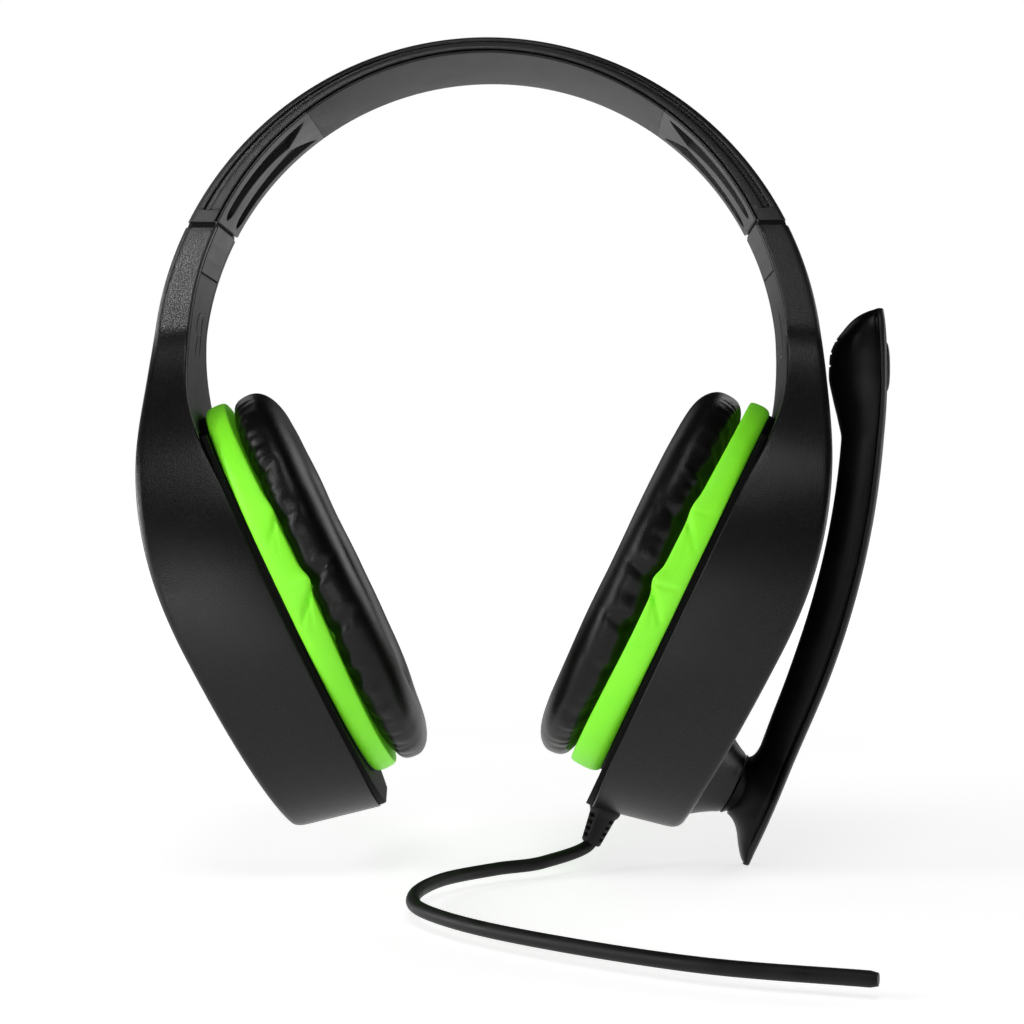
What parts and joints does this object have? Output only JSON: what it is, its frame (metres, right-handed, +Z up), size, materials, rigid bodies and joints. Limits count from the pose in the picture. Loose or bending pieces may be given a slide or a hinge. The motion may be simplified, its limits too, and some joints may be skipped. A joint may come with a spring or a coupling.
{
  "type": "gaming headset",
  "caption": "Over-ear gaming headset: crescent headband, two sliding ear cups with soft oval cushions, and a boom microphone that swings forward.",
  "frame": {"origin": "crown contact, the middle of the underside of the headband", "axes": "+Z up, +X to the wearer's left (microphone side), -Y the way the wearer faces"},
  "size_m": [0.1786, 0.1837, 0.1955],
  "materials": {
    "shell_black": "satin",
    "boom_black": "satin",
    "cushion_black": "satin",
    "cushion_green": "satin",
    "pad_grey": "matte",
    "liner_grey": "matte",
    "inner_black": "matte",
    "scrim_cloth": "matte",
    "diaphragm_film": "satin",
    "board_green": "satin",
    "rubber_black": "matte",
    "button_black": "gloss",
    "steel": "satin"
  },
  "bodies": {
    "headband": {"headband_shell": "shell_black", "headband_pad": "pad_grey", "headband_spring": "steel", "left_vent_panel": "liner_grey", "left_slider_strip": "steel", "left_strip_screw": "steel", "right_vent_panel": "liner_grey", "right_slider_strip": "steel", "right_strip_screw": "steel"},
    "left_arm": {"left_shell": "shell_black", "left_arm_cover": "liner_grey", "left_slider_guide": "liner_grey", "left_detent_spring": "steel", "left_baffle": "inner_black", "left_driver_frame": "inner_black", "left_driver_magnet": "steel", "left_driver_diaphragm": "diaphragm_film", "left_scrim": "scrim_cloth", "left_cushion_band": "cushion_green", "left_cushion": "cushion_black", "left_upper_screw": "steel", "left_lower_screw": "steel", "boom_socket": "boom_black", "boom_washer": "steel", "terminal_board": "board_green", "strain_relief": "rubber_black", "cable": "rubber_black"},
    "right_arm": {"right_shell": "shell_black", "right_arm_cover": "liner_grey", "right_slider_guide": "liner_grey", "right_detent_spring": "steel", "right_baffle": "inner_black", "right_driver_frame": "inner_black", "right_driver_magnet": "steel", "right_driver_diaphragm": "diaphragm_film", "right_scrim": "scrim_cloth", "right_cushion_band": "cushion_green", "right_cushion": "cushion_black", "right_upper_screw": "steel", "right_lower_screw": "steel"},
    "boom": {"boom_shell": "boom_black", "boom_cover": "boom_black", "boom_pin": "steel", "mic_capsule": "steel", "mic_boot": "rubber_black", "mic_board": "board_green"},
    "mute_button": {"mute_button": "button_black"}
  },
  "joints": [
    {"name": "left_size_slide", "type": "slide", "parent": "headband", "child": "left_arm", "axis": [0.2172, 0, -0.9761], "range_m": [0, 0.025]},
    {"name": "right_size_slide", "type": "slide", "parent": "headband", "child": "right_arm", "axis": [-0.2172, 0, -0.9761], "range_m": [0, 0.025]},
    {"name": "boom_swing", "type": "hinge", "parent": "left_arm", "child": "boom", "pos_m": [0.0596, 0, -0.1739], "axis": [0.899, 0, -0.438], "range_deg": [0, 120]},
    {"name": "mute_button_press", "type": "slide", "parent": "boom", "child": "mute_button", "axis": [-0.9999, 0, -0.011], "range_m": [0, 0.0006], "stiffness_N_per_m": 800, "springref_m": -0.0005}
  ]
}
